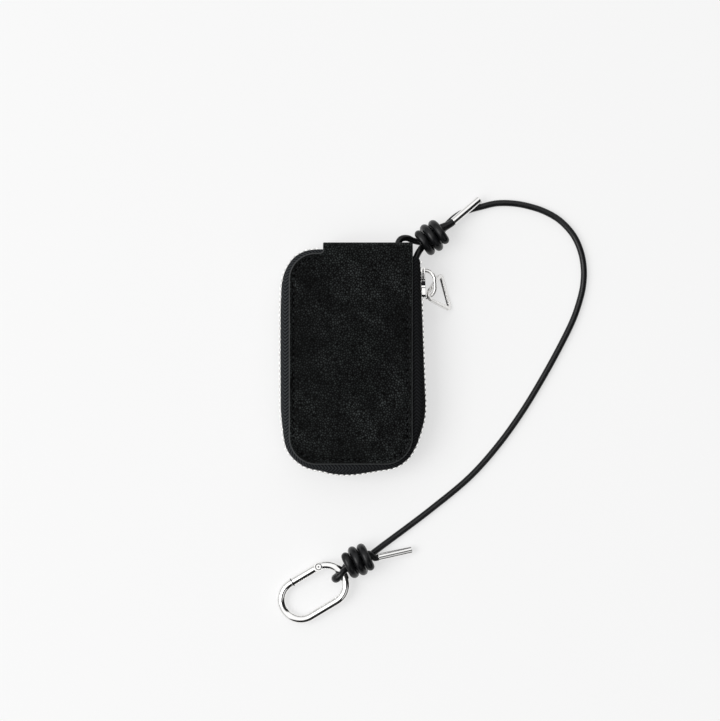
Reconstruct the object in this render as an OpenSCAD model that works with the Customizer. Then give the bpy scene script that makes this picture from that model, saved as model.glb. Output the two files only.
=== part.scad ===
// Zip-round leather key case with a key bar and four snap hooks inside,
// and a leather cord with two knots, two metal ends and an oval snap ring.
// Millimetres. The back panel lies on z = 0, the spine is at +Y.

/* [Case] */
// width of the two leather panels
case_w = 58; // [54:1:64]
// height from the bottom edge to the outside of the spine
case_h = 104; // [98:1:112]
// thickness of the closed case
case_t = 20; // [19:0.5:22]
// thickness of the outer leather
leather_t = 1.6; // [1.2:0.1:1.8]
// thickness of the lining
lining_t = 0.8; // [0.5:0.1:1]
// thickness of the board and of the sewn tape edge
board_t = 0.6; // [0.4:0.1:0.8]
// radius of the two lower corners
low_corner_r = 13; // [11:0.5:14]
// radius of the upper left corner
top_corner_r = 12.5; // [12:0.5:15]
// outside radius of the spine folds
fold_r = 3; // [2.6:0.1:3.2]

/* [Zip] */
// distance between the teeth of one row
tooth_pitch = 2.5; // [2.4:0.1:2.8]
// size of a tooth along the row
tooth_len = 1; // [0.8:0.05:1.05]
// width of the closed chain
chain_w = 5.8; // [5.4:0.1:6]
// thickness of a tooth
tooth_t = 2.5; // [2.2:0.1:2.6]
// thickness of the woven tape
tape_t = 0.6; // [0.4:0.1:0.7]
// length of the slider
slider_len = 13.8; // [13:0.2:15]
// thickness of the wire bail on the slider
bail_d = 1.8; // [1.5:0.1:1.9]
// width of the flat band of the pull
pull_w = 1.9; // [1.6:0.1:2.1]
// thickness of the flat band of the pull
pull_t = 1.2; // [1:0.1:1.3]

/* [Key bar] */
// number of key hooks
hook_count = 4; // [4:1:4]
// distance between the hooks
hook_step = 11; // [10.5:0.5:12]
// wire thickness of a hook
hook_d = 1.4; // [1.2:0.1:1.5]

/* [Cord] */
// thickness of the cord
cord_d = 3; // [2.8:0.1:3]
// length of a metal cord end
ferrule_len = 16.8; // [14:0.2:18]
// outside diameter of a metal cord end
ferrule_d = 3.5; // [3.4:0.1:3.7]

/* [Snap ring] */
// overall length of the ring
ring_len = 37; // [36:0.5:39]
// overall width of the ring
ring_w = 22.5; // [21.5:0.1:23.5]
// wire thickness of the ring
ring_d = 4; // [3.6:0.1:4.1]

/* [Hidden] */
$fn = 48;
eps = 0.01;

half_w = case_w / 2;
half_h = case_h / 2;
mid_z = case_t / 2;
// top edge of the panels left of the spine, and the left end of the spine
step_h = 5;
field_top = half_h - step_h;
spine_left = -13;
notch_r = 1.5;
// the panels end and the folds begin here
fold_y = half_h - fold_r;
fold_flat = 2.5;
fold_cut_y = fold_y - fold_flat;
fold_drop = 1.3;
wall_cut_z = case_t - fold_r - fold_drop;

low_c = half_w - low_corner_r;
low_y = -half_h + low_corner_r;
top_c = half_w - top_corner_r;
top_y = field_top - top_corner_r;

// heights of the layers, from the table up
board_z = leather_t;
lining_z = board_z + board_t;
inside_z = lining_z + lining_t;
board_inset = 6.5;
lining_inset = 1;

// Helpers.

function unit(v) = v / norm(v);
function flat_dir(a) = [cos(a), sin(a), 0];

// flat outline around discs given as [x, y, r], counter-clockwise
module disc_outline(discs) {
    n = len(discs);
    union() {
        for (d = discs) translate([d[0], d[1]]) circle(r = d[2]);
        polygon([for (i = [0 : n - 1])
            let (
                a = discs[i], b = discs[(i + 1) % n],
                to = [b[0] - a[0], b[1] - a[1]],
                turn = atan2(to[1], to[0]) - acos((a[2] - b[2]) / norm(to)),
                out = [cos(turn), sin(turn)]
            )
            each [[a[0], a[1]] + a[2] * out, [b[0], b[1]] + b[2] * out]
        ]);
    }
}

// round bar from one point to another
module round_bar(from, to, r) {
    way = to - from;
    translate(from)
        rotate([0, acos(way[2] / norm(way)), atan2(way[1], way[0])])
            cylinder(r = r, h = norm(way));
}

// part of a ring of round wire, in the XY plane
module wire_arc(bend_r, r, from, to) {
    rotate([0, 0, from])
        rotate_extrude(angle = to - from)
            translate([bend_r, 0]) circle(r = r, $fn = 24);
}

// a flat shape drawn in Y and Z, made thick along X
module along_x(from, thick) {
    translate([from, 0, 0]) rotate([90, 0, 90]) linear_extrude(thick) children();
}

// turned over to the other panel
module to_front() {
    translate([0, 0, case_t]) mirror([0, 0, 1]) children();
}

// Leather.

// outline of a panel, drawn in by a distance on every side
module field_outline(inset) {
    union() {
        translate([-low_c, low_y]) circle(r = low_corner_r - inset);
        translate([low_c, low_y]) circle(r = low_corner_r - inset);
        translate([-top_c, top_y]) circle(r = top_corner_r - inset);
        translate([-low_c, -half_h + inset]) square([2 * low_c, low_corner_r]);
        translate([-half_w + inset, low_y]) square([case_w - 2 * inset, top_y - low_y]);
        translate([-top_c, top_y - eps])
            square([top_c + half_w - inset, top_corner_r - inset + eps]);
    }
}

module spine_step(inset, top) {
    translate([spine_left + inset, field_top - low_corner_r])
        square([half_w - spine_left - 2 * inset, top - field_top + low_corner_r]);
}

module step_fillet() {
    difference() {
        translate([spine_left - notch_r, field_top - eps]) square(notch_r + eps);
        translate([spine_left - notch_r, field_top + notch_r]) circle(r = notch_r);
    }
}

module panel_layer(inset, top, from, thick) {
    translate([0, 0, from]) linear_extrude(thick) union() {
        field_outline(inset);
        spine_step(inset, top);
    }
}

module back_panel() {
    color("#1b1c1d") linear_extrude(leather_t) union() {
        field_outline(0);
        spine_step(0, fold_y);
        step_fillet();
    }
}

module back_stiffener() {
    color("#8a7a60")
        panel_layer(board_inset, field_top, board_z, board_t);
}

module back_lining() {
    color("#2c2c2e")
        panel_layer(lining_inset, fold_cut_y, lining_z, lining_t);
}

// one quarter of the fold, from the flat panel up to the wall
module fold_quarter() {
    translate([spine_left, fold_y, fold_r]) rotate([90, 0, 90])
        linear_extrude(half_w - spine_left) intersection() {
            difference() {
                circle(r = fold_r);
                circle(r = fold_r - leather_t);
            }
            translate([0, -fold_r]) square(fold_r);
        }
}

// round hole for the cord in the wall
cord_hole_x = 22.2;
cord_hole_d = 4.4;

module spine_panel() {
    color("#1b1c1d") difference() {
        union() {
            fold_quarter();
            translate([spine_left, half_h - leather_t, fold_r])
                cube([half_w - spine_left, leather_t, wall_cut_z - fold_r]);
        }
        translate([cord_hole_x, half_h + leather_t, mid_z])
            rotate([90, 0, 0]) cylinder(d = cord_hole_d, h = 3 * leather_t);
    }
}

module spine_fold() {
    color("#202122") union() {
        to_front() fold_quarter();
        translate([spine_left, half_h - leather_t, wall_cut_z])
            cube([half_w - spine_left, leather_t, case_t - fold_r - wall_cut_z]);
        translate([spine_left, fold_cut_y, case_t - leather_t])
            cube([half_w - spine_left, fold_flat, leather_t]);
    }
}

module front_panel() {
    color("#1b1c1d") translate([0, 0, case_t - leather_t])
        linear_extrude(leather_t) difference() {
            union() {
                field_outline(0);
                step_fillet();
            }
            translate([spine_left, fold_cut_y]) square([case_w, fold_r]);
        }
}

module front_stiffener() {
    color("#8a7a60") to_front()
        panel_layer(board_inset, fold_cut_y, board_z, board_t);
}

module front_lining() {
    color("#2c2c2e") to_front()
        panel_layer(lining_inset, fold_cut_y, lining_z, lining_t);
}

pocket_w = 44;
pocket_low = -45;
pocket_h = 60;
pocket_r = 3;

module card_pocket() {
    side = pocket_w / 2 - pocket_r;
    color("#26262a") to_front() translate([0, 0, inside_z]) linear_extrude(lining_t)
        disc_outline([
            [-side, pocket_low + pocket_r, pocket_r],
            [side, pocket_low + pocket_r, pocket_r],
            [side, pocket_low + pocket_h - pocket_r, pocket_r],
            [-side, pocket_low + pocket_h - pocket_r, pocket_r]
        ]);
}

// Zip.

// How far the chain lies outside the panel edge. The run beside the slider
// is straight; its rise per millimetre is the lean. Above it the tape turns in.
run_top_y = 42.9;
run_near_top = 41.7;
run_low_y = -24;
slider_y = 33.4;
slider_gap = 3.6;
zip_lean = 0.036;
function run_gap(y) = slider_gap + (slider_y - y) * zip_lean;
function right_at(y, gap) = [half_w + gap, y];
function left_at(y, gap) = [-half_w - gap, y];
function low_at(x, gap) = [x, -half_h - gap];
function top_at(x, gap) = [x, field_top + gap];
function corner_at(c, r, a, gap) = c + (r + gap) * [cos(a), sin(a)];

// route of the chain: [place on the edge, distance outside it]
above_run = [[45.4, 0.7], [45.2, 2], [44.2, 2.9]];
run_stops = [run_top_y, run_near_top, 33, 8, -12, run_low_y];
below_run = [[-30, 5.3], [-35, 4.2]];
low_right_turn = [[0, 3], [-20, 1.9], [-45, 1.8], [-70, 2]];
bottom_run = [[12, 2.9], [3, 4.3], [-3, 4.6], [-9, 4.1], [-14, 2.9]];
low_left_turn = [[-110, 2], [-135, 1.8], [-160, 2]];
left_run = [[-33, 3], [-27, 3.5], [-10, 3.7], [12, 3.7], [26, 3.5]];
top_left_turn = [[180, 2.8], [160, 2], [135, 1.8], [110, 1.6]];
top_run = [[-15.4, 1.55], [-10.5, 1.5]];

zip_route = concat(
    [for (p = above_run) right_at(p[0], p[1])],
    [for (y = run_stops) right_at(y, run_gap(y))],
    [for (p = below_run) right_at(p[0], p[1])],
    [for (p = low_right_turn) corner_at([low_c, low_y], low_corner_r, p[0], p[1])],
    [for (p = bottom_run) low_at(p[0], p[1])],
    [for (p = low_left_turn) corner_at([-low_c, low_y], low_corner_r, p[0], p[1])],
    [for (p = left_run) left_at(p[0], p[1])],
    [for (p = top_left_turn) corner_at([-top_c, top_y], top_corner_r, p[0], p[1])],
    [for (p = top_run) top_at(p[0], p[1])]
);

// point on a smooth curve through p1 and p2, with p0 before and p3 after them
function on_curve(p0, p1, p2, p3, f) =
    let (
        a = sqrt(norm(p1 - p0)), b = sqrt(norm(p2 - p1)), c = sqrt(norm(p3 - p2)),
        m1 = p2 - p1 + b * ((p1 - p0) / a - (p2 - p0) / (a + b)),
        m2 = p2 - p1 + b * ((p3 - p2) / c - (p3 - p1) / (b + c)),
        q = 2 * (p1 - p2) + m1 + m2,
        s = 3 * (p2 - p1) - 2 * m1 - m2
    )
    ((q * f + s) * f + m1) * f + p1;

// neighbours of a span, with the ends carried on straight
function before(pts, i) = i > 0 ? pts[i - 1] : 2 * pts[0] - pts[1];
function after(pts, i) = i + 2 < len(pts) ? pts[i + 2] : 2 * pts[i + 1] - pts[i];

function curve_through(pts, step) = concat(
    [for (i = [0 : len(pts) - 2])
        let (n = ceil(norm(pts[i + 1] - pts[i]) / step))
        for (k = [0 : n - 1])
            on_curve(before(pts, i), pts[i], pts[i + 1], after(pts, i), k / n)],
    [pts[len(pts) - 1]]
);

zip_step = 2;
zip_line = curve_through(zip_route, zip_step);
zip_last = len(zip_line) - 1;
// running length at each point, for looking places up along the chain
zip_run = [for (i = 0, s = 0; i <= zip_last;
    s = s + (i < zip_last ? norm(zip_line[i + 1] - zip_line[i]) : 0), i = i + 1) s];
zip_len = zip_run[zip_last];
zip_x = [for (i = [0 : zip_last]) [zip_run[i], zip_line[i][0]]];
zip_y = [for (i = [0 : zip_last]) [zip_run[i], zip_line[i][1]]];
function zip_at(s) = [lookup(s, zip_x), lookup(s, zip_y)];
function zip_dir(s) = unit(zip_at(s + tooth_len) - zip_at(s - tooth_len));

// place on the panel edge nearest to a point of the chain
function edge_at(p) =
    p[1] < low_y && abs(p[0]) > low_c
        ? [sign(p[0]) * low_c, low_y]
            + low_corner_r * unit([p[0] - sign(p[0]) * low_c, p[1] - low_y])
    : p[1] > top_y && p[0] < -top_c
        ? [-top_c, top_y] + top_corner_r * unit([p[0] + top_c, p[1] - top_y])
    : p[0] > half_w ? [half_w, p[1]]
    : p[0] < -half_w ? [-half_w, p[1]]
    : p[1] < 0 ? [p[0], -half_h]
    : [p[0], field_top];

// inside the slider's upper half the two rows spread apart
spread_from = 1;
spread_share = 0.3;
spread_most = 1.3;
function spread_at(p) = p[0] < 0 ? 0
    : max(0, min(spread_most, (p[1] - slider_y - spread_from) * spread_share));

// section of the back tape at a place: [distance outside the edge, height]
flange_w = 6;
tape_edge = 2;
turn_z = 4.5;
// the bend of the tape: shares of the gap for its outer and its inner face
outer_shares = [0.5, 0.92];
inner_shares = [0.4, 0.86];
function tape_section(gap, spread) =
    let (half = tape_t / 2, top = mid_z - tape_edge - spread)
    [
        [-flange_w, board_z], [0, board_z], [gap * outer_shares[0], board_z + half],
        [gap * outer_shares[1], turn_z - 2 * tape_t], [gap + half, turn_z], [gap + half, top],
        [gap - half, top], [gap - half, turn_z], [gap * inner_shares[1] - half, turn_z - tape_t],
        [gap * inner_shares[0], lining_z + half], [-half, lining_z], [-flange_w, lining_z]
    ];

module tape() {
    n = len(tape_section(tape_edge, 0));
    rings = [for (p = zip_line)
        let (e = edge_at(p), out = unit(p - e))
        for (q = tape_section(norm(p - e), spread_at(p)))
            [e[0] + out[0] * q[0], e[1] + out[1] * q[0], q[1]]];
    loft(rings, n);
}

// closed solid through rings of n points each
module loft(points, n) {
    last = len(points) / n - 1;
    polyhedron(
        points = points,
        faces = concat(
            [[for (k = [0 : n - 1]) k]],
            [for (i = [0 : last - 1]) for (k = [0 : n - 1])
                let (a = i * n + k, b = i * n + (k + 1) % n)
                each [[a, a + n, b], [b, a + n, b + n]]],
            [[for (k = [n - 1 : -1 : 0]) last * n + k]]
        ),
        convexity = 8
    );
}

module zip_tape_back() {
    color("#0f0f10") tape();
}

module zip_tape_front() {
    color("#0f0f10") to_front() tape();
}

// a tooth, drawn across the tape: jaws on the tape edge, neck and head
head_z = 0.7;
jaw_slot = 0.8;
jaw_z = 1.1;
jaw_cut = 0.3;
jaw_top = 1.6;
neck_from = 2.1;
jaw_foot_share = 0.85;
neck_share = 0.76;
head_share = 0.45;
module tooth() {
    root = -chain_w / 2;
    half = tooth_t / 2;
    foot = half * jaw_foot_share;
    neck = half * neck_share;
    tip = half * head_share;
    translate([-tooth_len / 2, 0, 0]) rotate([90, 0, 90]) linear_extrude(tooth_len)
        polygon([
            [-jaw_slot / 2, root], [-foot, root], [-half, root + jaw_cut],
            [-half, root + jaw_top], [-neck, root + neck_from],
            [-neck, head_z / 2], [-tip, head_z],
            [tip, head_z], [neck, head_z / 2],
            [neck, root + neck_from], [half, root + jaw_top],
            [half, root + jaw_cut], [foot, root], [jaw_slot / 2, root],
            [jaw_slot / 2, root + jaw_z], [-jaw_slot / 2, root + jaw_z]
        ]);
}

teeth_start = 6.73;
teeth_stop = 2.4;
module tooth_row(shift) {
    n = floor((zip_len - teeth_start - teeth_stop - tooth_pitch) / tooth_pitch);
    for (i = [0 : n]) {
        s = teeth_start + shift + i * tooth_pitch;
        p = zip_at(s);
        way = zip_dir(s);
        translate([p[0], p[1], mid_z - spread_at(p)])
            rotate([0, 0, atan2(way[1], way[0])]) tooth();
    }
}

module zip_teeth_back() {
    color("#c9cbce") tooth_row(0);
}

module zip_teeth_front() {
    color("#c9cbce") to_front() tooth_row(tooth_pitch / 2);
}

// small metal blocks at the ends of the chain
stop_len = 1;
stop_w = 2.2;
stop_from = 3.58;
stop_bite = 0.7;
module top_stop() {
    p = zip_at(stop_from + stop_len / 2);
    edge = mid_z - tape_edge - spread_most;
    translate([p[0], p[1], edge]) rotate([0, 0, atan(zip_lean)]) difference() {
        cube([tooth_t, stop_len, stop_w], center = true);
        translate([-jaw_slot / 2, -stop_len, -stop_w])
            cube([jaw_slot, 2 * stop_len, stop_w + stop_bite / 4]);
    }
}

module zip_top_stop_back() {
    color("#c9cbce") top_stop();
}

module zip_top_stop_front() {
    color("#c9cbce") to_front() top_stop();
}

end_stop_len = 1.4;
end_stop_gap = 0.03;
end_stop_w = 7;
module zip_bottom_stop() {
    p = zip_line[zip_last];
    way = unit(p - zip_line[zip_last - 1]);
    color("#c9cbce") translate([p[0], p[1], mid_z])
        rotate([0, 0, atan2(way[1], way[0])])
            translate([end_stop_gap, -tooth_t / 2, -end_stop_w / 2])
                cube([end_stop_len, tooth_t, end_stop_w]);
}

// Slider and pull.

plate_in = 1.5;
plate_t = 0.9;
slot_half = 0.6;
rim_in = 3.2;
rim_out = 4.1;
mouth_in = 4.5;
mouth_out = 5.2;
flare_y = 0.8;
mouth_len = 2.4;
shoulder_len = 2.8;
corner_cut = 1.2;
tail_inset = 1;
mouth_end_share = 0.92;
tail_share = 0.86;
post_from = 4.3;
post_wide_from = 5.6;
post_half = 0.4;
post_inset = 0.2;
// grooves along the sides of the upper half, and a recess across the waist
groove_from = 1.7;
groove_end = 1;
groove_depth = 0.4;
groove_x = 1.25;
groove_w = 0.5;
waist_low = -1.4;
waist_high = 0.6;
waist_depth = 0.5;
waist_w = 1.9;

module at_slider() {
    translate([half_w + slider_gap, slider_y, mid_z]) rotate([0, 0, atan(zip_lean)])
        children();
}

// half of the slider's plan, in Y and Z, between two distances from the middle
module slider_rim(z_low, z_mouth, y_low) {
    half = slider_len / 2;
    polygon([
        [-half, z_low], [flare_y, z_low], [half - mouth_len, z_mouth], [half, z_mouth],
        [half, mouth_out * mouth_end_share], [half - corner_cut, mouth_out],
        [half - shoulder_len, mouth_out],
        [flare_y, rim_out], [y_low, rim_out], [-half, rim_out * tail_share]
    ]);
}

module slider_body() {
    half = slider_len / 2;
    color("#cfd1d3") at_slider() difference() { union() {
        for (side = [-1, 1])
            along_x(side > 0 ? plate_in : -plate_in - plate_t, plate_t) union() {
                slider_rim(0, 0, -half + tail_inset);
                mirror([0, 1]) slider_rim(0, 0, -half + tail_inset);
            }
        for (side = [-1, 1])
            along_x(side > 0 ? slot_half : -plate_in, plate_in - slot_half) union() {
                slider_rim(rim_in, mouth_in, -half + tail_inset);
                mirror([0, 1]) slider_rim(rim_in, mouth_in, -half + tail_inset);
            }
        // post that parts the two rows
        along_x(-plate_in, 2 * plate_in)
            polygon([[post_from, 0], [post_wide_from, -post_half], [half - post_inset, -post_half],
                [half - post_inset, post_half], [post_wide_from, post_half]]);
        }
        slider_groove();
        mirror([0, 0, 1]) slider_groove();
    }
}

// groove and waist recess in one side of the slider
module slider_groove() {
    half = slider_len / 2;
    along_x(groove_x, groove_w) polygon([
        [groove_from, rim_out - groove_depth / 2],
        [half - shoulder_len, mouth_out - groove_depth],
        [half - groove_end, mouth_out - groove_depth],
        [half - groove_end, mouth_out + groove_depth],
        [groove_from, mouth_out + groove_depth]
    ]);
    translate([0, waist_low, rim_out - waist_depth])
        cube([waist_w, waist_high - waist_low, mouth_out]);
}

bail_r = 4.6;
bail_straight = 3.6;
bail_mid = -0.8;
bail_low = bail_mid - bail_straight / 2;
bail_high = bail_mid + bail_straight / 2;
bail_x = plate_in + plate_t;
module slider_bail() {
    color("#d6d8da") at_slider() union() {
        translate([bail_x, bail_high, 0]) wire_arc(bail_r, bail_d / 2, 0, 90);
        translate([bail_x, bail_low, 0]) wire_arc(bail_r, bail_d / 2, -90, 0);
        round_bar([bail_x + bail_r, bail_low, 0], [bail_x + bail_r, bail_high, 0], bail_d / 2);
    }
}

// the pull hangs on the bail's lower bend and leans down to the table
pull_at_angle = -50;
pull_turn = 13;
pull_lean = 51;
pull_hub_r = 1.95;
pull_eye_w = 1.3;
pull_reach = 11.1;
pull_half = 6.6;
pull_corner_r = 1.3;
pull_point = [bail_x + bail_r * cos(pull_at_angle),
    bail_low + bail_r * sin(pull_at_angle), 0];

module pull_loop() {
    color("#d6d8da") at_slider() translate(pull_point)
        rotate([0, 0, pull_turn]) rotate([0, pull_lean, 0])
            translate([0, 0, -pull_t / 2]) linear_extrude(pull_t) difference() {
                disc_outline([
                    [0, 0, pull_hub_r + pull_eye_w],
                    [pull_reach - pull_corner_r, -pull_half, pull_corner_r + pull_w / 2],
                    [pull_reach - pull_corner_r, pull_half, pull_corner_r + pull_w / 2]
                ]);
                disc_outline([
                    [0, 0, pull_hub_r],
                    [pull_reach - pull_corner_r, -pull_half, pull_corner_r - pull_w / 2],
                    [pull_reach - pull_corner_r, pull_half, pull_corner_r - pull_w / 2]
                ]);
            }
}

// Key bar and hooks.

bar_w = 46;
bar_h = 9;
bar_t = 1;
bar_y = 38;
bar_end_r = 3;
rivet_r = 1.6;
rivet_t = 0.5;
stud_r = 1;
stud_h = 1.9;
stud_head_r = 1.9;
stud_head_t = 0.5;
bar_top = inside_z + bar_t;
hook_lift = 0.95;
hook_z = bar_top + hook_lift;

module key_bar() {
    side = bar_w / 2 - bar_end_r;
    rise = bar_h / 2 - bar_end_r;
    color("#c6c8cb") translate([0, bar_y, inside_z]) linear_extrude(bar_t) difference() {
        disc_outline([
            [-side, -rise, bar_end_r], [side, -rise, bar_end_r],
            [side, rise, bar_end_r], [-side, rise, bar_end_r]
        ]);
        for (i = [0 : hook_count - 1]) translate([hook_x(i), 0]) circle(r = stud_r);
    }
}

function hook_x(i) = (i - (hook_count - 1) / 2) * hook_step;

module key_bar_rivets() {
    color("#d6d8da") for (side = [-1, 1])
        translate([side * (bar_w / 2 - rivet_r - rivet_t / 2), bar_y, bar_top])
            cylinder(r = rivet_r, h = rivet_t);
}

module hook_studs() {
    color("#d6d8da") for (i = [0 : hook_count - 1])
        translate([hook_x(i), bar_y, inside_z]) union() {
            cylinder(r = stud_r, h = bar_t + stud_h);
            translate([0, 0, bar_t + stud_h]) cylinder(r = stud_head_r, h = stud_head_t);
        }
}

// snap hook, eye at the origin and loop towards -Y
eye_r = 1.8;
loop_half = 2.7;
loop_top = -8.2;
loop_low = -20;
nose_y = -17.6;
hinge_y = -7.6;
boss_r = 1.1;
cheek_h = 1.5;
tongue_h = 0.6;
hinge_pin_r = 0.4;
hinge_gap = 0.05;
hook_r = hook_d / 2;
fork_from = 30;
gate_share = 0.86;
gate_start = 1.4;
gate_over = 0.2;

module key_hook(i) {
    color("#d6d8da") translate([hook_x(i), bar_y, hook_z]) union() {
        wire_arc(eye_r, hook_r, 0, 360);
        round_bar([0, -eye_r, 0], [0, loop_top + loop_half, 0], hook_r);
        round_bar([-loop_half, loop_low, 0], [-loop_half, loop_top, 0], hook_r);
        translate([0, loop_low, 0]) wire_arc(loop_half, hook_r, 180, 360);
        round_bar([loop_half, loop_low, 0], [loop_half, nose_y, 0], hook_r);
        // top bend, and a fork for the gate
        difference() {
            union() {
                translate([0, loop_top, 0]) wire_arc(loop_half, hook_r, fork_from, 180);
                translate([loop_half, hinge_y, -cheek_h / 2])
                    cylinder(r = boss_r, h = cheek_h);
            }
            translate([loop_half, hinge_y, -tongue_h / 2 - hinge_gap])
                cylinder(r = boss_r + 2 * hinge_gap, h = tongue_h + 2 * hinge_gap);
        }
        translate([loop_half, hinge_y, -cheek_h / 2])
            cylinder(r = hinge_pin_r, h = cheek_h);
    }
}

module hook_gate(i) {
    gate_r = hook_r * gate_share;
    color("#c2c4c7") translate([hook_x(i) + loop_half, bar_y + hinge_y, hook_z])
        difference() {
            union() {
                translate([0, 0, -tongue_h / 2]) cylinder(r = boss_r, h = tongue_h);
                round_bar([0, -gate_start, 0], [0, nose_y - hinge_y + gate_over, 0], gate_r);
                translate([-tongue_h / 2, -2 * boss_r, -tongue_h / 2])
                    cube([tongue_h, 2 * boss_r, tongue_h]);
            }
            translate([0, 0, -cheek_h]) cylinder(r = hinge_pin_r + hinge_gap, h = 2 * cheek_h);
        }
}

// Knots and cord.

cord_r = cord_d / 2;
// clear space between the cord's own strands
strand_gap = 0.46;
strand_step = cord_d + strand_gap;
core_r = strand_step / sqrt(3);
wrap_r = core_r + strand_step;
turn_r = strand_step / 2;
wrap_pitch = 4.2;
wrap_step = 15;
wrap_turns = 2;
blend_steps = 8;
core_end = 0.5;
core_over = 1;
quarter = 90;
turn_step = 22.5;
run_shares = [0, 0.25, 0.5, 0.75];
back_shares = [0.25, 0.5, 0.75, 1];

// Frame of a knot: [middle, direction, angles of the three core strands
// (standing, tail, returning), hand of the wraps].
knot_z = 7;
case_knot = [[38.2, 54.8, knot_z], 27.5, [-90, 30, 150], 1];
ring_knot = [[3.3, -98.1, knot_z], 17.8, [-90, 30, 150], 1];

function in_knot(k, t, r, a) = k[0] + flat_dir(k[1]) * t
    + r * (flat_dir(k[1] + 90) * cos(a) + [0, 0, sin(a)]);
// the same with a step sideways along the wrap
function in_knot_off(k, t, r, off, a) = in_knot(k, t, r, a)
    + off * k[3] * (flat_dir(k[1] + 90) * -sin(a) + [0, 0, cos(a)]);

function wrap_sweep(k) =
    let (d = (k[2][2] - k[2][1]) * k[3]) (d > 0 ? d : d + 360) + wrap_turns * 360;
function knot_half(k) = wrap_pitch * wrap_sweep(k) / 360 / 2;

// tail strand through the core, round as wraps, and back through the core
function wrapped(k) =
    let (
        lo = -knot_half(k), hi = knot_half(k), tail = k[2][1], back = k[2][2],
        skip = atan(turn_r / wrap_r), sweep = wrap_sweep(k),
        n = ceil((sweep - 2 * skip) / wrap_step)
    )
    concat(
        [for (f = run_shares)
            in_knot(k, hi + core_over + f * (lo + turn_r - hi - core_over), core_r, tail)],
        [for (q = [0 : turn_step : quarter])
            in_knot(k, lo + turn_r * (1 - sin(q)), core_r + turn_r * (1 - cos(q)), tail)],
        [for (q = [turn_step : turn_step : quarter - turn_step])
            in_knot_off(k, lo, core_r + turn_r + turn_r * sin(q), turn_r * (1 - cos(q)), tail)],
        [for (i = [0 : n])
            let (f = i / n, over = max(0, 1 - min(i, n - i) / blend_steps))
            in_knot(k, lo + f * (hi - lo), wrap_r + over * (norm([wrap_r, turn_r]) - wrap_r),
                tail + k[3] * (skip + f * (sweep - 2 * skip)))],
        [for (q = [quarter - turn_step : -turn_step : turn_step])
            in_knot_off(k, hi, core_r + turn_r + turn_r * sin(q), -turn_r * (1 - cos(q)), back)],
        [for (q = [quarter : -turn_step : 0])
            in_knot(k, hi - turn_r * (1 - sin(q)), core_r + turn_r * (1 - cos(q)), back)],
        [for (f = back_shares)
            in_knot(k, hi - turn_r + f * (lo - core_end - hi + turn_r), core_r, back)]
    );
function standing(k) = [for (i = [-2 : 2])
    in_knot(k, i / 2 * (knot_half(k) - core_end), core_r, k[2][0])];

function backwards(v) = [for (i = [len(v) - 1 : -1 : 0]) v[i]];

// metal cord ends: [mouth, far end]
case_end = [[48.4, 62.4, 7], [61.2, 73.4, 4.2]];
ring_end = [[12.8, -96.6, 6], [29, -93.3, 2.2]];
function end_way(e) = unit(e[1] - e[0]);
end_depth = 5.5;
end_lead = 1.5;
function cord_in(e) = [e[0] + end_depth * end_way(e), e[0], e[0] - end_lead * end_way(e)];

// through the hole in the spine, round inside and out past the spine's end
case_loop = [[32, 47.8, 9.2], [30, 44.3, 10], [26.4, 42.6, 10], [23.1, 45.1, 10],
    [22.2, 48.4, 10], [22.2, 51.6, 10], [23.5, 53.9, 9.8], [26.6, 54.6, 7.6], [29.8, 53.4, 5.4]];

// over the ring's end, down through it and back beneath
ring_loop = [[-2.6, -101.3, 3.2], [-3.8, -103.5, 1.8], [-5.9, -105.7, 2.2],
    [-7.2, -106.6, 5.2], [-6.5, -106, 8.1], [-4.8, -104.5, 9.5], [-3.4, -102.8, 8.9]];

// free stretch, lying on the table
free_z = cord_r;
free_run = [[46, 61.6, 3.6], [49.2, 64.6, 2.4], [53, 67, 1.7], [57, 68.5, free_z],
    [62, 69.8, free_z], [69, 71.4, free_z], [77, 71.4, free_z], [84, 70.2, free_z],
    [92, 67.6, free_z], [99.5, 63.2, free_z], [106, 56, free_z], [109.5, 48, free_z],
    [110.8, 40, free_z], [110.4, 32, free_z], [108.5, 24, free_z], [105.5, 15.6, free_z],
    [99, 2.4, free_z], [90.6, -12.8, free_z], [81.3, -28, free_z], [70.3, -43.3, free_z],
    [56.8, -58.5, free_z], [38.6, -73.7, free_z], [25.6, -83.6, free_z], [21, -87, free_z],
    [14.6, -91.7, 2.2], [11.6, -93.9, 3]];

cord_route = concat(
    cord_in(case_end), wrapped(case_knot), case_loop, standing(case_knot), free_run,
    backwards(standing(ring_knot)), ring_loop, backwards(wrapped(ring_knot)),
    backwards(cord_in(ring_end))
);

// more rings where the route bends
free_step = 8;
bend_step = 24;
function bend_at(pts, i) =
    let (a = unit(pts[i + 1] - pts[i]), b = unit(pts[i] - before(pts, i)),
        c = unit(after(pts, i) - pts[i + 1]))
    acos(min(1, a * b)) + acos(min(1, a * c));
cord_line = concat(
    [for (i = [0 : len(cord_route) - 2])
        let (n = ceil(max(norm(cord_route[i + 1] - cord_route[i]) / free_step,
            bend_at(cord_route, i) / 2 / bend_step)))
        for (k = [0 : n - 1]) on_curve(before(cord_route, i), cord_route[i],
            cord_route[i + 1], after(cord_route, i), k / n)],
    [cord_route[len(cord_route) - 1]]
);
cord_last = len(cord_line) - 1;
cord_run = [for (i = 0, s = 0; i <= cord_last;
    s = s + (i < cord_last ? norm(cord_line[i + 1] - cord_line[i]) : 0), i = i + 1) s];

// least distance between strands: points at least this far apart along the cord
reach_share = 2.2;
own_reach = reach_share * cord_d;
function seg_gap(p, a, b) =
    let (f = max(0, min(1, (p - a) * (b - a) / ((b - a) * (b - a))))) norm(p - a - f * (b - a));
least = min([for (i = [0 : cord_last]) for (j = [0 : cord_last - 1])
    if (cord_run[j] - cord_run[i] > own_reach)
        seg_gap(cord_line[i], cord_line[j], cord_line[j + 1])]);
echo(cord_length = cord_run[cord_last], rings = cord_last + 1, least_gap = least - cord_d);

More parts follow.
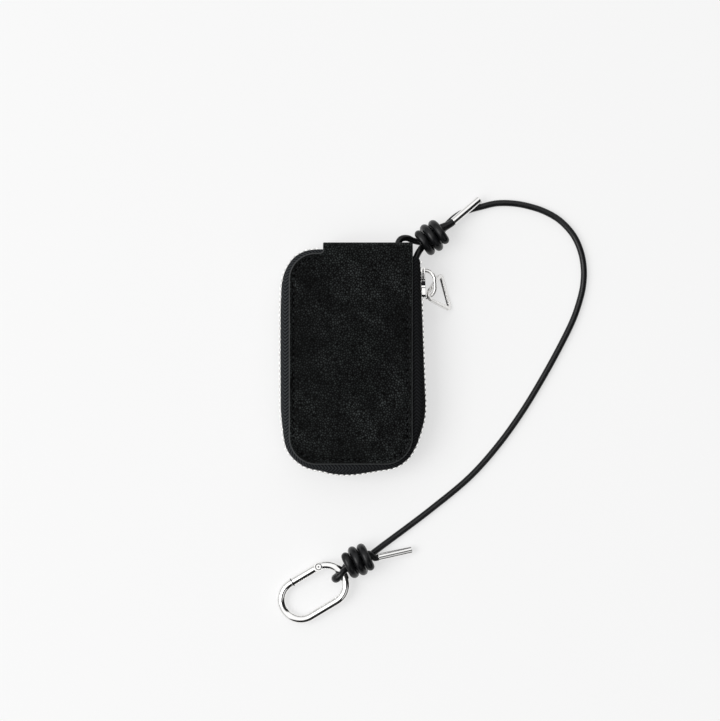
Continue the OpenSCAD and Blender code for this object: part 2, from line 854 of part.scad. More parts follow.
function cord_way(i) = unit(cord_line[min(i + 1, cord_last)] - cord_line[max(i - 1, 0)]);
// a side vector carried along the cord without twist
function carried(v, way) = unit(v - (v * way) * way);
cord_side = [for (i = 0, v = carried([0, 0, 1], cord_way(0)); i <= cord_last;
    i = i + 1, v = carried(v, cord_way(min(i, cord_last)))) v];
cord_sides = 8;

module cord() {
    color("#121213") loft([for (i = [0 : cord_last])
        let (v = cord_side[i], w = cross(cord_way(i), v))
        for (k = [0 : cord_sides - 1])
            cord_line[i] + cord_r * (v * cos(k * 360 / cord_sides) + w * sin(k * 360 / cord_sides))],
        cord_sides);
}

bore_gap = 0.06;
rim_cut = 0.3;
module ferrule(e) {
    way = end_way(e);
    color("#d6d8da") translate(e[0])
        rotate([0, acos(way[2]), atan2(way[1], way[0])]) difference() {
            union() {
                cylinder(d = ferrule_d, h = ferrule_len - rim_cut);
                translate([0, 0, ferrule_len - rim_cut])
                    cylinder(d1 = ferrule_d, d2 = ferrule_d - 2 * rim_cut, h = rim_cut);
            }
            translate([0, 0, -eps])
                cylinder(r = cord_r + bore_gap, h = end_depth + bore_gap + eps);
        }
}

module ferrule_case_end() {
    ferrule(case_end);
}

module ferrule_ring_end() {
    ferrule(ring_end);
}

// Snap ring.

ring_r = ring_d / 2;
ring_bend = ring_w / 2 - ring_r;
ring_straight = ring_len / 2 - ring_w / 2;
ring_turn = 31.5;
ring_low_z = ring_r;
ring_high_z = 5.5;
ring_tilt = asin((ring_high_z - ring_low_z) / (ring_len - ring_d));
ring_mid = [-17.7, -113.3, (ring_high_z + ring_low_z) / 2];
pin_x = 8.5;
nose_x = -6.2;
nose_slant = 29;
near_stop = 82;
nose_gap = 0.15;
ring_boss_r = 2;
ring_boss_h = 3.8;
gate_tongue_h = 1.6;
gate_tongue_gap = 0.12;
gate_pin_r = 0.7;
pin_gap = 0.02;
gate_pin_head_r = 1.3;
gate_pin_head_t = 0.35;
shoulder_r = 2.25;

module at_ring() {
    translate(ring_mid) rotate([0, 0, ring_turn]) rotate([0, -ring_tilt, 0]) children();
}

// space on the gate's side of the slanted joint
module gate_side(gap) {
    big = ring_len;
    translate([nose_x, ring_bend, 0]) rotate([0, 0, -nose_slant])
        translate([gap, -big, -big / 2]) cube([big, 2 * big, big]);
}

module snap_ring() {
    color("#d6d8da") at_ring() difference() {
        union() {
            translate([ring_straight, 0, 0]) wire_arc(ring_bend, ring_r, -90, near_stop);
            round_bar([-ring_straight, -ring_bend, 0], [ring_straight, -ring_bend, 0], ring_r);
            translate([-ring_straight, 0, 0]) wire_arc(ring_bend, ring_r, 180, 270);
            difference() {
                union() {
                    translate([-ring_straight, 0, 0]) wire_arc(ring_bend, ring_r, 90, 180);
                    round_bar([-ring_straight, ring_bend, 0],
                        [nose_x + ring_r, ring_bend, 0], ring_r);
                }
                gate_side(-nose_gap / 2);
            }
            translate([pin_x, ring_bend, -ring_boss_h / 2])
                cylinder(r = ring_boss_r, h = ring_boss_h);
        }
        translate([pin_x, ring_bend, -gate_tongue_h / 2 - gate_tongue_gap])
            cylinder(r = shoulder_r, h = gate_tongue_h + 2 * gate_tongue_gap);
        translate([pin_x, ring_bend, -ring_d])
            cylinder(r = gate_pin_r + pin_gap, h = 2 * ring_d);
        for (side = [-1, 1])
            translate([pin_x, ring_bend, side * (ring_boss_h + ring_d) / 2])
                cylinder(r = gate_pin_head_r + pin_gap, h = ring_d, center = true);
    }
}

module ring_gate() {
    color("#cdd0d2") at_ring() difference() {
        union() {
            difference() {
                intersection() {
                    round_bar([nose_x - ring_r, ring_bend, 0], [pin_x, ring_bend, 0], ring_r);
                    gate_side(nose_gap / 2);
                }
                translate([pin_x, ring_bend, -ring_d]) cylinder(r = shoulder_r, h = 2 * ring_d);
            }
            translate([pin_x, ring_bend, -gate_tongue_h / 2])
                cylinder(r = ring_boss_r, h = gate_tongue_h);
            translate([pin_x - shoulder_r - ring_r / 2, ring_bend - ring_r / 2, -gate_tongue_h / 2])
                cube([shoulder_r + ring_r / 2, ring_r, gate_tongue_h]);
        }
        translate([pin_x, ring_bend, -ring_d])
            cylinder(r = gate_pin_r + hinge_gap, h = 2 * ring_d);
    }
}

module gate_pin() {
    color("#b9bbbe") at_ring() translate([pin_x, ring_bend, 0]) union() {
        cylinder(r = gate_pin_r, h = ring_boss_h, center = true);
        for (side = [-1, 1])
            translate([0, 0, side * (ring_boss_h + gate_pin_head_t) / 2])
                cylinder(r = gate_pin_head_r, h = gate_pin_head_t, center = true);
    }
}

back_panel();
back_stiffener();
back_lining();
spine_panel();
spine_fold();
front_panel();
front_stiffener();
front_lining();
card_pocket();
zip_tape_back();
zip_tape_front();
zip_teeth_back();
zip_teeth_front();
zip_top_stop_back();
zip_top_stop_front();
zip_bottom_stop();
slider_body();
slider_bail();
pull_loop();
key_bar();
key_bar_rivets();
hook_studs();
key_hook(0);  // key_hook_1
key_hook(1);  // key_hook_2
key_hook(2);  // key_hook_3
key_hook(3);  // key_hook_4
hook_gate(0);  // hook_gate_1
hook_gate(1);  // hook_gate_2
hook_gate(2);  // hook_gate_3
hook_gate(3);  // hook_gate_4
cord();
ferrule_case_end();
ferrule_ring_end();
snap_ring();
ring_gate();
gate_pin();
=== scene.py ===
import math

import bmesh
import bpy
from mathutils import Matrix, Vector, noise
from mathutils.geometry import delaunay_2d_cdt


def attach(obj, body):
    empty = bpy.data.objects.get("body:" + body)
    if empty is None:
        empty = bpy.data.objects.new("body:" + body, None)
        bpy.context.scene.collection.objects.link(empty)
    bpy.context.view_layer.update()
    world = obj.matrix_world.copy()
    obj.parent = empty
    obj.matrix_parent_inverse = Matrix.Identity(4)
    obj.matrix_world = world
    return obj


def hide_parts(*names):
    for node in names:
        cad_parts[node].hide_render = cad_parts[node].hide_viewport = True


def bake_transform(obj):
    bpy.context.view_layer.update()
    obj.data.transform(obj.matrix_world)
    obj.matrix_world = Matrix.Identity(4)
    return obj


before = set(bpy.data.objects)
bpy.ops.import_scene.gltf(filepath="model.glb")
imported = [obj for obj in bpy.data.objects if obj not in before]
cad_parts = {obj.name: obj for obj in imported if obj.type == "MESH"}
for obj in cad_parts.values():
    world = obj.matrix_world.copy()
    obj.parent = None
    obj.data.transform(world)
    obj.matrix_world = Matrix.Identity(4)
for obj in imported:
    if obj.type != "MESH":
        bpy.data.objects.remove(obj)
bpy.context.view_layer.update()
scene = bpy.context.scene
MM = 0.001

# sizes of the case, in millimetres
HALF_W, HALF_H, CASE_T = 29.0, 52.0, 20.0
MID_Z = CASE_T / 2
LEATHER, LINING, BOARD = 1.6, 0.8, 0.6
LOW_R, TOP_R, FOLD_R = 13.0, 12.5, 3.0
FIELD_TOP, SPINE_LEFT, NOTCH_R = 47.0, -13.0, 1.5
# middles of the rounded corners
LOW_X, LOW_Y = HALF_W - LOW_R, -HALF_H + LOW_R
TOP_X, TOP_Y = HALF_W - TOP_R, FIELD_TOP - TOP_R
FOLD_Y = HALF_H - FOLD_R
BOARD_Z, LINING_Z = LEATHER, LEATHER + BOARD
INSIDE_Z = LINING_Z + LINING
STITCH_IN = 2.4

# ---- camera: straight above, a metre up ----

VIEW_AT = (4.3, -3.33)
VIEW_UP = 1000.0
MM_PER_PX, VIEW_PX = 0.4765, 720
SENSOR = 36

camera = bpy.data.objects.new("view_camera", bpy.data.cameras.new("view_camera"))
scene.collection.objects.link(camera)
camera.location = (VIEW_AT[0] * MM, VIEW_AT[1] * MM, VIEW_UP * MM)
camera.data.sensor_fit = "HORIZONTAL"
camera.data.sensor_width = SENSOR
camera.data.lens = SENSOR * VIEW_UP / (MM_PER_PX * VIEW_PX)
camera.data.clip_start = 0.01
camera.data.clip_end = 20
scene.camera = camera

# ---- materials ----


class Nodes:
    """A material with short calls for its nodes."""

    def __init__(self, name, colour, rough, metal=0.0, level=0.5):
        self.mat = bpy.data.materials.new(name)
        self.mat.use_nodes = True
        self.tree = self.mat.node_tree
        self.shader = self.tree.nodes["Principled BSDF"]
        self.set("Base Color", (*colour, 1))
        self.set("Roughness", rough)
        self.set("Metallic", metal)
        self.set("Specular IOR Level", level)

    def set(self, socket, value):
        self.shader.inputs[socket].default_value = value

    def feed(self, source, node, socket):
        """Give an input a value, or link it to another node's output."""
        if isinstance(source, (int, float, tuple)):
            node.inputs[socket].default_value = source
        else:
            self.tree.links.new(source, node.inputs[socket])

    def place(self, stretch=(1, 1, 1), turn=(0, 0, 0), kind="Object"):
        """Coordinates, turned first and then stretched."""
        at = self.tree.nodes.new("ShaderNodeTexCoord").outputs[kind]
        if stretch == (1, 1, 1) and turn == (0, 0, 0):
            return at
        first = self.tree.nodes.new("ShaderNodeMapping")
        first.inputs["Rotation"].default_value = turn
        self.tree.links.new(at, first.inputs["Vector"])
        then = self.tree.nodes.new("ShaderNodeMapping")
        then.inputs["Scale"].default_value = stretch
        self.tree.links.new(first.outputs["Vector"], then.inputs["Vector"])
        return then.outputs["Vector"]

    def noise(self, at, size, detail=3, rough=0.5, out="Fac"):
        """Noise whose bumps are about size millimetres across."""
        n = self.tree.nodes.new("ShaderNodeTexNoise")
        self.feed(at, n, "Vector")
        n.inputs["Scale"].default_value = 1 / (size * MM)
        n.inputs["Detail"].default_value = detail
        n.inputs["Roughness"].default_value = rough
        return n.outputs[out]

    def cells(self, at, size, feature="F1", out="Distance"):
        """Cells about size millimetres across."""
        n = self.tree.nodes.new("ShaderNodeTexVoronoi")
        n.feature = feature
        self.feed(at, n, "Vector")
        n.inputs["Scale"].default_value = 1 / (size * MM)
        if feature == "SMOOTH_F1":
            n.inputs["Smoothness"].default_value = 0.3
        return n.outputs[out]

    def ramp(self, source, *stops):
        """Colour or grey stops as (place, value)."""
        n = self.tree.nodes.new("ShaderNodeValToRGB")
        self.feed(source, n, "Fac")
        line = n.color_ramp.elements
        while len(line) < len(stops):
            line.new(0.5)
        for e, (at, v) in zip(line, stops):
            e.position = at
            e.color = (*v, 1) if isinstance(v, tuple) else (v, v, v, 1)
        return n.outputs["Color"]

    def math(self, what, a, b=0.0, c=0.0):
        n = self.tree.nodes.new("ShaderNodeMath")
        n.operation = what
        for i, v in enumerate((a, b, c)):
            self.feed(v, n, i)
        return n.outputs[0]

    def mix(self, share, a, b):
        """Blend of two colours."""
        n = self.tree.nodes.new("ShaderNodeMix")
        n.data_type = "RGBA"
        self.feed(share, n, 0)
        for socket, colour in ((6, a), (7, b)):
            self.feed((*colour, 1) if isinstance(colour, tuple) else colour, n, socket)
        return n.outputs[2]

    def bump(self, height, depth, strength=1.0, under=None):
        """Normal of a relief that is depth millimetres deep, on top of another one."""
        n = self.tree.nodes.new("ShaderNodeBump")
        self.feed(height, n, "Height")
        n.inputs["Distance"].default_value = depth * MM
        n.inputs["Strength"].default_value = strength
        if under is not None:
            self.tree.links.new(under, n.inputs["Normal"])
        return n.outputs["Normal"]

    def worn_edges(self, size):
        """Normal that rounds off the edges by size millimetres."""
        n = self.tree.nodes.new("ShaderNodeBevel")
        n.samples = 6
        n.inputs["Radius"].default_value = size * MM
        return n.outputs["Normal"]

    def to(self, socket, source):
        self.tree.links.new(source, self.shader.inputs[socket])

    def within(self, value, low, high):
        """1 where a value in metres lies between two numbers of millimetres."""
        above = self.math("GREATER_THAN", value, low * MM)
        return self.math("MULTIPLY", above, self.math("LESS_THAN", value, high * MM))

    def parts(self, at):
        n = self.tree.nodes.new("ShaderNodeSeparateXYZ")
        self.feed(at, n, 0)
        return n.outputs["X"], n.outputs["Y"], n.outputs["Z"]


PEBBLE_MM = 1.1
PATCH_MM = 12


def grained_leather():
    """Black pebbled leather: pale tops are a painted glint and dark grooves painted shade, with mottled
    patches and slanting creases.
    """
    m = Nodes("pebbled_leather", (0.006, 0.006, 0.0065), 0.6, level=0.05)
    at = m.place()
    wide = m.noise(at, PATCH_MM, 4, 0.6)
    bent = m.tree.nodes.new("ShaderNodeVectorMath")
    bent.operation = "MULTIPLY_ADD"
    m.feed(m.noise(at, 3, 2, out="Color"), bent, 0)
    bent.inputs[1].default_value = (0.0006, 0.0006, 0.0006)
    m.feed(at, bent, 2)
    grain = m.cells(bent.outputs[0], PEBBLE_MM, "DISTANCE_TO_EDGE")
    own, _, _ = m.parts(m.cells(bent.outputs[0], PEBBLE_MM, out="Color"))
    fine = m.noise(at, 0.35, 3, 0.6)
    crease = m.noise(m.place((0.25, 1.0, 1), (0, 0, math.radians(40))), 6, 3, 0.55)
    broad = m.noise(at, 30, 3, 0.5)
    patches = m.ramp(wide, (0.36, 0.5), (0.66, 1.0))
    mottle = m.math("MULTIPLY", patches, m.ramp(broad, (0.38, 0.62), (0.6, 1.12)))
    streak = m.ramp(crease, (0.38, 0.6), (0.62, 1.15))
    # painted light: the grooves between pebbles are coloured near black as shade and the pebble tops pale as
    # glints; the same relief also bumps the normal
    pebble_height_and_shade = m.ramp(grain, (0.06, 0.0), (0.2, 0.65), (0.36, 1.0))
    # how strongly each top's painted glint shows: at random per pebble, in a random mottle and along the
    # creases
    painted_glint = m.math("MULTIPLY", m.ramp(own, (0.1, 0.6), (0.9, 1.0)), m.math("MULTIPLY", mottle, streak))
    tops = m.mix(painted_glint, (0.002, 0.0023, 0.0023), (0.041, 0.0467, 0.046))
    m.to("Base Color", m.mix(pebble_height_and_shade, (0.0003, 0.0003, 0.0003), tops))
    m.to("Roughness", m.ramp(wide, (0.3, 0.62), (0.7, 0.5)))
    n = m.bump(m.ramp(crease, (0.4, 0.0), (0.52, 1.0), (0.64, 0.1)), 0.12)
    n = m.bump(pebble_height_and_shade, 0.16, 0.9, n)
    m.to("Normal", m.bump(fine, 0.03, 0.6, n))
    return m.mat


def edge_paint_and_highlight():
    # Edge paint, made paler than the paint itself as a painted highlight where the rounded edge would catch
    # the light.
    m = Nodes("painted_edge_and_highlight", (0.02, 0.021, 0.022), 0.5, level=0.3)
    at = m.place()
    m.to("Base Color", m.mix(m.noise(at, 2.4), (0.016, 0.0175, 0.018), (0.034, 0.037, 0.038)))
    m.to("Normal", m.bump(m.noise(at, 0.5, 3), 0.05))
    return m.mat


def smooth_leather(name, low, high, rough, level, grain, depth):
    """Leather between two tones, with a fine grain in millimetres."""
    m = Nodes(name, low, rough, level=level)
    at = m.place()
    m.to("Base Color", m.mix(m.ramp(m.noise(at, 7, 4, 0.6), (0.35, 0.0), (0.7, 1.0)), low, high))
    m.to("Roughness", m.ramp(m.noise(at, 3, 3), (0.3, rough - 0.05), (0.7, rough + 0.08)))
    n = m.bump(m.cells(at, grain, "SMOOTH_F1"), depth, 0.7)
    m.to("Normal", m.bump(m.noise(at, 0.25, 2), depth / 2, 0.6, n))
    return m.mat


NICKEL = (0.93, 0.925, 0.915)


def nickel(name, tone, rough, edge=0.25):
    """Plated metal with a faint film and brushed lines; edge is the rounding in millimetres."""
    m = Nodes(name, tone, rough, metal=1.0)
    at = m.place()
    film = m.noise(at, 4, 4, 0.6)
    mottle = tuple(c * 0.93 for c in tone)
    m.to("Base Color", m.mix(m.ramp(film, (0.35, 0.0), (0.7, 1.0)), tone, mottle))
    m.to("Roughness", m.ramp(m.noise(at, 1.5, 4, 0.65), (0.3, rough * 0.7), (0.75, rough * 1.5)))
    lines = m.noise(m.place((0.08, 1.4, 1.4), (0.3, 0.2, 0.6)), 0.4, 2)
    m.to("Normal", m.bump(lines, 0.004, 0.5, m.worn_edges(edge)))
    return m.mat


def banded_nickel():
    """The slider: polished, with painted shade in the hollows between its raised parts."""
    m = Nodes("slider_nickel", NICKEL, 0.1, metal=1.0)
    x, y, _ = m.parts(m.place())
    # painted shade: near-black bands over the gap between the top bars and over the slots across the slider
    hollow_shade = m.math("MULTIPLY", m.within(x, 33.7, 34.2), m.within(y, 35.0, 39.9))
    for low, high in ((31.9, 34.0), (34.75, 34.95), (30.75, 31.1), (26.2, 26.75)):
        hollow_shade = m.math("MAXIMUM", hollow_shade, m.within(y, low, high))
    film = m.noise(m.place(), 3, 3)
    lit = m.mix(m.ramp(film, (0.35, 0.0), (0.7, 1.0)), (0.94, 0.935, 0.925), (0.88, 0.87, 0.855))
    m.to("Base Color", m.mix(hollow_shade, lit, (0.012, 0.012, 0.013)))
    brushed = m.math("MULTIPLY", m.within(y, 34.9, 38.4), 0.45)
    rough = m.ramp(m.noise(m.place(), 1.5, 4, 0.65), (0.3, 0.07), (0.75, 0.15))
    m.to("Roughness", m.math("ADD", brushed, rough))
    m.to("Normal", m.worn_edges(0.2))
    return m.mat


# the snap ring's middle and turn on the table; the rivet and the nose seam from there
RING_AT, RING_TURN = (-17.7, -113.3), math.radians(31.5)
RIVET_AT, RIVET_RIM, RIVET_DIMPLE = (8.45, 9.25), 1.42, 0.38
NOSE_AT = -6.15


def ring_nickel():
    """The snap ring: painted shade as dark fine lines round the rivet's head, in its dimple and where the gate
    meets the nose.
    """
    m = Nodes("ring_nickel", NICKEL, 0.08, metal=1.0)
    x, y, _ = m.parts(m.place())

    def from_middle(a, b):
        shift = -(RING_AT[0] * a + RING_AT[1] * b) * MM
        return m.math("MULTIPLY_ADD", x, a, m.math("MULTIPLY_ADD", y, b, shift))

    def near(value, target, width):
        gap = m.math("ABSOLUTE", m.math("SUBTRACT", value, target * MM))
        return m.math("LESS_THAN", gap, width * MM)

    long_way = from_middle(math.cos(RING_TURN), math.sin(RING_TURN))
    short_way = from_middle(-math.sin(RING_TURN), math.cos(RING_TURN))
    a = m.math("SUBTRACT", long_way, RIVET_AT[0] * MM)
    b = m.math("SUBTRACT", short_way, RIVET_AT[1] * MM)
    far = m.math("SQRT", m.math("MULTIPLY_ADD", a, a, m.math("MULTIPLY", b, b)))
    # painted shade in the gap where the gate meets the nose
    seam = m.math("MULTIPLY", near(long_way, NOSE_AT, 0.24), m.math("GREATER_THAN", short_way, 0.0))
    dimple_shade = m.math("LESS_THAN", far, RIVET_DIMPLE * MM)
    # painted shade round the rivet's head and in its dimple
    marks = m.math("MAXIMUM", near(far, RIVET_RIM, 0.2), m.math("MAXIMUM", dimple_shade, seam))
    film = m.noise(m.place(), 4, 4, 0.6)
    lit = m.mix(m.ramp(film, (0.35, 0.0), (0.7, 1.0)), (0.94, 0.935, 0.925), (0.87, 0.865, 0.855))
    m.to("Base Color", m.mix(marks, lit, (0.03, 0.03, 0.031)))
    m.to("Roughness", m.ramp(m.noise(m.place(), 1.5, 4, 0.65), (0.3, 0.055), (0.75, 0.12)))
    return m.mat


RIB_MM, FOLD_MM, PICK_MM = 0.8, 2.6, 0.25


def woven_tape():
    """Herringbone tape: UV is millimetres along and across the tape."""
    m = Nodes("woven_tape", (0.008, 0.008, 0.009), 0.85, level=0.05)
    along, across, _ = m.parts(m.place(kind="UV"))
    x, _, _ = m.parts(m.place())
    # painted light and shade: the tape is coloured paler on the case's left side, towards the lamp, and darker
    # on its right, in shade
    side_light = m.math("MULTIPLY_ADD", x, -10.5, 0.62)
    fold = m.math("PINGPONG", across, FOLD_MM)
    rib = m.math("PINGPONG", m.math("MULTIPLY_ADD", fold, 0.9, along), RIB_MM)
    rib = m.math("DIVIDE", rib, RIB_MM)
    pick = m.math("DIVIDE", m.math("PINGPONG", across, PICK_MM), PICK_MM)
    height = m.math("MULTIPLY_ADD", pick, 0.2, rib)
    fuzz = m.noise(m.place(), 0.4, 3, 0.7)
    raised = m.math("MULTIPLY", m.ramp(height, (0.3, 0.0), (0.95, 1.0)), side_light)
    lit = m.mix(raised, (0.004, 0.004, 0.0045), (0.05, 0.054, 0.058))
    m.to("Base Color", m.mix(m.ramp(fuzz, (0.45, 0.0), (0.75, 0.3)), lit, (0.012, 0.0125, 0.014)))
    m.to("Normal", m.bump(height, 0.1, 0.9, m.bump(fuzz, 0.05, 0.5)))
    return m.mat


def thread_look():
    m = Nodes("sewing_thread", (0.005, 0.005, 0.0055), 0.6, level=0.12)
    at = m.place((1, 1, 1), (0.5, 0.4, 0.7))
    ply = m.noise(m.place((0.5, 1.6, 1), (0.6, 0.4, 0.9)), 0.22, 2)
    some = m.ramp(m.noise(m.place(), 4, 3, 0.7), (0.38, 0.12), (0.62, 1.0))
    lit = m.mix(ply, (0.006, 0.0062, 0.0065), (0.03, 0.032, 0.034))
    m.to("Base Color", m.mix(some, (0.0012, 0.0012, 0.0013), lit))
    m.to("Normal", m.bump(ply, 0.08, 0.8, m.bump(m.noise(at, 0.1), 0.03)))
    return m.mat


def fibre_board():
    m = Nodes("fibre_board", (0.3, 0.23, 0.16), 0.85, level=0.2)
    at = m.place()
    m.to("Base Color", m.mix(m.noise(at, 0.8, 4, 0.7), (0.2, 0.15, 0.1), (0.42, 0.34, 0.25)))
    m.to("Normal", m.bump(m.noise(at, 0.5, 4, 0.7), 0.08))
    return m.mat


GRAINED = grained_leather()
EDGE_PAINT_AND_HIGHLIGHT = edge_paint_and_highlight()
SUEDE = smooth_leather("leather_flesh_side", (0.016, 0.016, 0.017), (0.03, 0.03, 0.032),
                       0.85, 0.15, 0.3, 0.08)
LINING_LOOK = smooth_leather("lining_leather", (0.014, 0.014, 0.015), (0.026, 0.026, 0.028),
                             0.55, 0.3, 0.55, 0.05)
CORD_LOOK = smooth_leather("cord_leather", (0.0035, 0.0037, 0.0042), (0.0075, 0.008, 0.009),
                           0.3, 0.3, 0.35, 0.018)
POLISHED = nickel("polished_nickel", NICKEL, 0.08)
SATIN = nickel("satin_nickel", (0.91, 0.9, 0.885), 0.22, 0.5)
TEETH = nickel("tooth_metal", (0.95, 0.945, 0.93), 0.14, 0.15)
BANDED = banded_nickel()
RINGED = ring_nickel()
TAPE = woven_tape()
THREAD = thread_look()
FIBRE = fibre_board()
# near-black look for the discs that stand for the shade inside the needle holes
NEEDLE_HOLE_SHADE = smooth_leather("needle_hole", (0.0003, 0.0003, 0.0003), (0.001, 0.001, 0.001),
                           0.9, 0.0, 0.3, 0.02)

# ---- the cord: the same route as the solid's ----


def flat_dir(a):
    """Level direction at a degrees."""
    return Vector((math.cos(math.radians(a)), math.sin(math.radians(a)), 0))


def on_curve(p0, p1, p2, p3, f):
    """Smooth curve through p1 and p2, with p0 before and p3 after them."""
    a, b, c = math.sqrt((p1 - p0).length), math.sqrt((p2 - p1).length), math.sqrt((p3 - p2).length)
    m1 = p2 - p1 + b * ((p1 - p0) / a - (p2 - p0) / (a + b))
    m2 = p2 - p1 + b * ((p3 - p2) / c - (p3 - p1) / (b + c))
    q = 2 * (p1 - p2) + m1 + m2
    s = 3 * (p2 - p1) - 2 * m1 - m2
    return ((q * f + s) * f + m1) * f + p1


def curve_through(pts, step):
    """Points along a smooth curve, about step apart."""
    pts = [Vector(p) for p in pts]
    ends = [2 * pts[0] - pts[1]] + pts + [2 * pts[-1] - pts[-2]]
    out = []
    for i in range(len(pts) - 1):
        n = max(1, math.ceil((pts[i + 1] - pts[i]).length / step))
        out += [on_curve(*ends[i : i + 4], k / n) for k in range(n)]
    return out + [pts[-1]]


# three strands lie in the core of a knot, and the cord wraps round them
CORD_D, STRAND_GAP = 3.0, 0.46
STRAND_STEP = CORD_D + STRAND_GAP
CORE_R = STRAND_STEP / math.sqrt(3)
WRAP_R = CORE_R + STRAND_STEP
TURN_R = STRAND_STEP / 2
WRAP_PITCH, WRAP_STEP = 4.2, 15
CORE = (-90, 30, 150)
TURN_ANGLES = (0, 22.5, 45, 67.5, 90)
PART_WAY = (0.25, 0.5, 0.75)
# a knot: its middle and the way it points, in degrees
CASE_KNOT = (Vector((38.2, 54.8, 7)), 27.5)
RING_KNOT = (Vector((3.3, -98.1, 7)), 17.8)
SWEEP = (CORE[2] - CORE[1]) % 360 + 720
HALF_KNOT = WRAP_PITCH * SWEEP / 720


def in_knot(k, t, r, a, off=0.0):
    """Place in a knot: along it, out from its middle, round it, and a step sideways."""
    side, a = flat_dir(k[1] + 90), math.radians(a)
    up = Vector((0, 0, 1))
    at = k[0] + flat_dir(k[1]) * t + r * (side * math.cos(a) + up * math.sin(a))
    return at + off * (side * -math.sin(a) + up * math.cos(a))


def wrapped(k):
    """The tail through the core, round its wraps and back through the core."""
    lo, hi = -HALF_KNOT, HALF_KNOT
    _, tail, back = CORE
    skip = math.degrees(math.atan(TURN_R / WRAP_R))
    n = math.ceil((SWEEP - 2 * skip) / WRAP_STEP)
    far = math.hypot(WRAP_R, TURN_R)
    easing = 8

    def turn(end, inward, a, q):
        """From the core out, on the first half of the turn at an end."""
        q = math.radians(q)
        return in_knot(k, end + inward * TURN_R * (1 - math.sin(q)), CORE_R + TURN_R * (1 - math.cos(q)), a)

    def swing(end, a, q, way):
        """Outward and sideways, on its second half."""
        q = math.radians(q)
        r = CORE_R + TURN_R + TURN_R * math.sin(q)
        return in_knot(k, end, r, a, way * TURN_R * (1 - math.cos(q)))

    out = [in_knot(k, hi + 1 + f * (lo + TURN_R - hi - 1), CORE_R, tail) for f in (0, *PART_WAY)]
    out += [turn(lo, 1, tail, q) for q in TURN_ANGLES]
    out += [swing(lo, tail, q, 1) for q in TURN_ANGLES[1:-1]]
    for i in range(n + 1):
        f, over = i / n, max(0, 1 - min(i, n - i) / easing)
        out.append(in_knot(k, lo + f * (hi - lo), WRAP_R + over * (far - WRAP_R),
                           tail + skip + f * (SWEEP - 2 * skip)))
    out += [swing(hi, back, q, -1) for q in TURN_ANGLES[-2:0:-1]]
    out += [turn(hi, -1, back, q) for q in TURN_ANGLES[::-1]]
    return out + [in_knot(k, hi - TURN_R + f * (lo - 0.5 - hi + TURN_R), CORE_R, back) for f in (*PART_WAY, 1)]


def standing(k):
    """The strand that runs straight through the core."""
    return [in_knot(k, f * (HALF_KNOT - 0.5), CORE_R, CORE[0]) for f in (-1, -0.5, 0, 0.5, 1)]


# a metal end: its mouth and its tip
CASE_END = (Vector((48.4, 62.4, 7)), Vector((61.2, 73.4, 4.2)))
RING_END = (Vector((12.8, -96.6, 6)), Vector((29, -93.3, 2.2)))
END_DEPTH = 5.5
LINE_STEP = 0.8


def cord_in(e):
    """The cord's last piece, inside its metal end."""
    way = (e[1] - e[0]).normalized()
    return [e[0] + END_DEPTH * way, e[0], e[0] - 1.5 * way]


# through the hole of the spine and out again; round the snap ring; along the table
CASE_LOOP = [(32, 47.8, 9.2), (30, 44.3, 10), (26.4, 42.6, 10), (23.1, 45.1, 10), (22.2, 48.4, 10),
             (22.2, 51.6, 10), (23.5, 53.9, 9.8), (26.6, 54.6, 7.6), (29.8, 53.4, 5.4)]
RING_LOOP = [(-2.6, -101.3, 3.2), (-3.8, -103.5, 1.8), (-5.9, -105.7, 2.2), (-7.2, -106.6, 5.2),
             (-6.5, -106, 8.1), (-4.8, -104.5, 9.5), (-3.4, -102.8, 8.9)]
LOW = CORD_D / 2
FREE_RUN = [(46, 61.6, 3.6), (49.2, 64.6, 2.4), (53, 67, 1.7), (57, 68.5, LOW), (62, 69.8, LOW),
            (69, 71.4, LOW), (77, 71.4, LOW), (84, 70.2, LOW), (92, 67.6, LOW), (99.5, 63.2, LOW),
            (106, 56, LOW), (109.5, 48, LOW), (110.8, 40, LOW), (110.4, 32, LOW), (108.5, 24, LOW),
            (105.5, 15.6, LOW), (99, 2.4, LOW), (90.6, -12.8, LOW), (81.3, -28, LOW),
            (70.3, -43.3, LOW), (56.8, -58.5, LOW), (38.6, -73.7, LOW), (25.6, -83.6, LOW), (21, -87, LOW),
            (14.6, -91.7, 2.2), (11.6, -93.9, 3)]

route = cord_in(CASE_END) + wrapped(CASE_KNOT) + CASE_LOOP + standing(CASE_KNOT) + FREE_RUN
route += standing(RING_KNOT)[::-1] + RING_LOOP + wrapped(RING_KNOT)[::-1] + cord_in(RING_END)[::-1]
line = curve_through(route, LINE_STEP)


def ease(f):
    """Smooth step from 0 to 1."""
    f = max(0.0, min(1.0, f))
    return f * f * (3 - 2 * f)


# how much thicker the cord looks, as a share: in the wraps, round the ring, near the case's knot
WRAP_MORE, BIGHT_MORE, TAIL_MORE = 0.33, 0.38, 0.3
RING_BIGHT = Vector(RING_LOOP[3])
CASE_TAIL = in_knot(CASE_KNOT, HALF_KNOT + 1, CORE_R, CORE[1])


def swell(v):
    """Pressed flat in the knots and at the ring, the cord looks thicker than where it runs free."""
    most = 0.0
    for middle, way in (CASE_KNOT, RING_KNOT):
        t = (v - middle).dot(flat_dir(way))
        off = (v - middle - t * flat_dir(way)).length
        if off < 8:
            most = max(most, WRAP_MORE * ease((HALF_KNOT + 2.5 - abs(t)) / 3) * ease((off - 2.5) / 2.5))
    most = max(most, BIGHT_MORE * ease((5.5 - (v - RING_BIGHT).length) / 3))
    gone = (v - CASE_TAIL).length
    if (v - CASE_END[0]).length < 9 and v.z > 6:
        most = max(most, 0.1 + TAIL_MORE * ease(1 - gone / 6))
    return 1 + most


